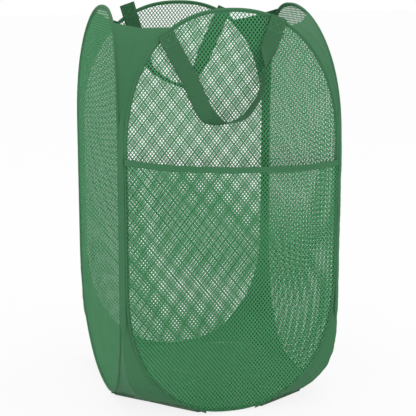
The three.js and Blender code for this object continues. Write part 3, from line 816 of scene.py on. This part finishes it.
# The way between the ends: across and down as shares of the span and the drop, away as a share of half
# the strap, and twist in quarter turns
ROUTE_SHARES = {
    "front": [
        (0, 0, 0, 0), (0.155, 0.406, 0.03, 0), (0.3, 0.835, 0.2, 0.15), (0.384, 0.946, 0.6, 0.5),
        (0.494, 1, 1, 0.85), (0.681, 0.932, 1.12, 1), (0.791, 0.779, 1.12, 1), (0.862, 0.625, 1.05, 0.95),
        (0.9, 0.495, 1.0, 0.92), (0.93, 0.255, 0.82, 0.8), (1, 0, 0, 0),
    ],
    "back": [
        (0, 0, 0, 0), (0.098, 0.366, 0.03, 0), (0.189, 0.7, 0.25, 0.3), (0.294, 0.912, 0.6, 0.6),
        (0.388, 1, 0.95, 0.8), (0.515, 0.95, 1.12, 0.86), (0.663, 0.837, 1.12, 0.86), (0.84, 0.622, 1, 0.8),
        (0.925, 0.314, 0.5, 0.5), (1, 0, 0, 0),
    ],
}


def catmull(values, count):
    """A smooth run through the rows, with the ends' slopes kept."""
    p = np.array(values, float)
    p = np.vstack([2 * p[0] - p[1], p, 2 * p[-1] - p[-2]])
    spans = len(p) - 3
    out = []
    for t in np.linspace(0, spans, count):
        i = min(int(t), spans - 1)
        f = t - i
        a, b, c, d = p[i : i + 4]
        square = 2 * a - 5 * b + 4 * c - d
        cube = 3 * b - a - 3 * c + d
        out.append(0.5 * (2 * b + (c - a) * f + square * f * f + cube * f**3))
    return np.array(out)


def tab_run(end, along):
    """The sewn end of a strap, as across, up, away and twist at places along it."""
    across, splay, _ = end
    u = across + np.sign(across) * along * math.sin(splay)
    return np.stack([u, HINGE_Z + along * math.cos(splay), 0 * along, 0 * along])


def strap_run(panel):
    """The strap's middle line from tab to tab, as across, up, away and twist."""
    left, right = ENDS[panel]
    across, down, away, twist = catmull(ROUTE_SHARES[panel], ROUTE_STATIONS).T
    loop = np.stack([
        left[0] + across * (right[0] - left[0]),
        HINGE_Z - down * DROP[panel],
        away * STRAP / 2,
        np.clip(twist, 0, TWIST_MOST) * math.pi / 2,
    ])
    left_tab = tab_run(left, np.linspace(left[2], TAB_END, TAB_STATIONS))
    right_tab = tab_run(right, np.linspace(TAB_END, right[2], TAB_STATIONS))
    return np.concatenate([left_tab, loop, right_tab], axis=1)


def strap_section():
    """Places round the strap, across its width and off its middle, thinner at both edges."""
    widths = np.linspace(-1, 1, STRAP_STATIONS)
    thick = np.full(STRAP_STATIONS, STRAP_THICK / 2)
    thick[[0, -1]] *= STRAP_EDGE_SHARE
    across = np.concatenate([widths, widths[::-1]]) * STRAP / 2
    return list(zip(across, np.concatenate([thick, -thick])))


def handle(panel, side):
    """One strap from tab to tab, with its two ends sewn flat on the rim."""
    u, z, away, twist = strap_run(panel)
    tangent = np.stack([np.gradient(u), np.gradient(z)])
    tangent /= np.linalg.norm(tangent, axis=0)
    flat_u, flat_z = -tangent[1], tangent[0]
    out = side * (OFFSET + away)
    run = run_along(np.stack([u, z, away], -1))
    rows, uvs = [], []
    for w, h in strap_section():
        aside = w * np.cos(twist) - h * np.sin(twist) * side
        lift = side * w * np.sin(twist) + h * np.cos(twist)
        rows.append(on_panel(panel, u + flat_u * aside, out + lift, z + flat_z * aside))
        uvs.append(grid_uv(run, w))
    obj = grid_object(
        f"{panel}_handle_webbing", np.stack(rows, 1), np.stack(uvs, 1), wrap_columns=True
    )
    paint(obj, webbing)
    y = float(on_panel(panel, 0.0, side * OFFSET, HINGE_Z)[1])
    start, end = (0, y, HINGE_Z + BEND_ABOVE), (0, y, HINGE_Z - BEND_BELOW)
    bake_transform(obj)
    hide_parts(f"{panel}_handle_strap", f"{panel}_handle_left_tab", f"{panel}_handle_right_tab")
    for end, name in zip(ENDS[panel], ("left", "right")):
        box_stitching(panel, side, end, name)


def box_stitching(panel, side, end, name):
    """The sewn box with its cross that holds one end of a strap."""
    across, splay, length = end
    half, top = STRAP / 2 - BOX_INSET, length - BOX_INSET
    root = max(top - BOX_HEIGHT, half * math.tan(splay) + BOX_CLEAR)
    tilt = math.copysign(splay, across)

    def at(aside, along):
        return (
            across + aside * math.cos(tilt) + along * math.sin(tilt),
            HINGE_Z - aside * math.sin(tilt) + along * math.cos(tilt),
        )

    corners = [at(-half, root), at(half, root), at(half, top), at(-half, top)]
    out = side * (OFFSET + STRAP_THICK / 2 + BOX_OUT)
    rows = []
    for a, b in ((0, 1), (1, 2), (2, 3), (3, 0), (0, 2), (1, 3)):
        u, z = np.linspace(corners[a], corners[b], BOX_STATIONS).T
        path = on_panel(panel, u, out, z)
        rows.append(stitch_row("bar", path, facing(panel, side, path), BOX_STITCH, BOX_GAP))
    obj = joined(f"{panel}_handle_{name}_stitches", rows)
    paint(obj, thread)
    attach(obj, panel)
    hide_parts(f"{panel}_handle_{name}_stitching")


def joined(name, objects):
    """One object from several, which are taken away."""
    points, faces, base = [], [], 0
    for obj in objects:
        data = obj.data
        places = np.array([v.co for v in data.vertices])
        points.append(places)
        faces.append(np.array([list(p.vertices) for p in data.polygons]) + base)
        base += len(places)
        bpy.data.objects.remove(obj)
        bpy.data.meshes.remove(data)
    whole = np.concatenate(points)
    return mesh_object(name, whole, np.concatenate(faces), np.zeros((len(whole), 2)))


# Stage: the white floor keeps a share of its own shading, so that the object's shadow stays
FLOOR_SHADE_SHARE = 0.15
STAGE_HALF = 12
STAGE_GREY = (0.9, 0.9, 0.9, 1)
STAGE_ROUGHNESS = 0.9
WHITE = (1, 1, 1, 1)
WORLD_STRENGTH, SEEN_STRENGTH = 0.97, 1.0
LAMP_TARGET = Vector((0, 0, 0.3))

# Name, place, size and power of each lamp
LAMPS = (
    ("key", (-1.4, -2.0, 1.9), 1.6, 4.0),
    ("fill", (1.9, -1.5, 1.2), 1.8, 4.5),
    ("top", (0.2, 0.4, 2.4), 1.8, 5.0),
)


def seen_rays(n):
    """One for the rays that show a surface or the world: from the camera, mirrored or through glass."""
    path = n.add("ShaderNodeLightPath").outputs
    through = n.math("MAXIMUM", path["Is Glossy Ray"], path["Is Transmission Ray"])
    return n.math("MAXIMUM", path["Is Camera Ray"], through)


def mix_to(n, share, first, second, target):
    mix = n.add("ShaderNodeMixShader")
    for socket, source in zip(mix.inputs, (share, first, second)):
        n.link(source, socket)
    n.link(mix.outputs[0], target)


def make_floor():
    mesh = bpy.data.meshes.new("stage_floor")
    reach = STAGE_HALF
    corners = [(-reach, -reach, 0), (reach, -reach, 0), (reach, reach, 0), (-reach, reach, 0)]
    mesh.from_pydata(corners, [], [(0, 1, 2, 3)])
    floor = link(bpy.data.objects.new("stage_floor", mesh))
    n = Nodes.of_material(
        "stage_white", **{"Base Color": STAGE_GREY, "Roughness": STAGE_ROUGHNESS}
    )
    white = n.add("ShaderNodeEmission", Strength=SEEN_STRENGTH)
    share = n.math("MULTIPLY", seen_rays(n), 1 - FLOOR_SHADE_SHARE)
    target = n.tree.nodes["Material Output"].inputs["Surface"]
    mix_to(n, share, n.shader.outputs[0], white.outputs[0], target)
    mesh.materials.append(n.owner)


def make_world():
    world = bpy.data.worlds.new("world")
    bpy.context.scene.world = world
    n = Nodes(world)
    light = n.tree.nodes["Background"]
    n.set(light, {"Strength": WORLD_STRENGTH, "Color": WHITE})
    seen = n.add("ShaderNodeBackground", Strength=SEEN_STRENGTH, Color=WHITE)
    target = n.tree.nodes["World Output"].inputs["Surface"]
    mix_to(n, seen_rays(n), light.outputs[0], seen.outputs[0], target)


def make_lamps():
    for name, place, size, power in LAMPS:
        light = bpy.data.lights.new(name, "AREA")
        light.size = size
        light.energy = power
        lamp = link(bpy.data.objects.new(name, light))
        lamp.location = place
        aim(lamp, LAMP_TARGET - Vector(place))


make_camera()
make_floor()
make_world()
make_lamps()
bpy.context.scene.view_settings.view_transform = "Standard"
for panel in TURN:
    panel_net(panel)
    sleeve(panel)
    for side in (1, -1):
        sleeve_stitching(panel, side)
    floor_gore(panel)
for corner in CORNERS:
    top_gusset(corner)
    foot_gusset(corner)
    corner_seam(corner)
pocket_net()
mouth_binding()
handle("front", 1)
handle("back", -1)
for name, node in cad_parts.items():
    if name.endswith(("_hoop_wire", "_wire_ferrule")):
        paint(node, steel)
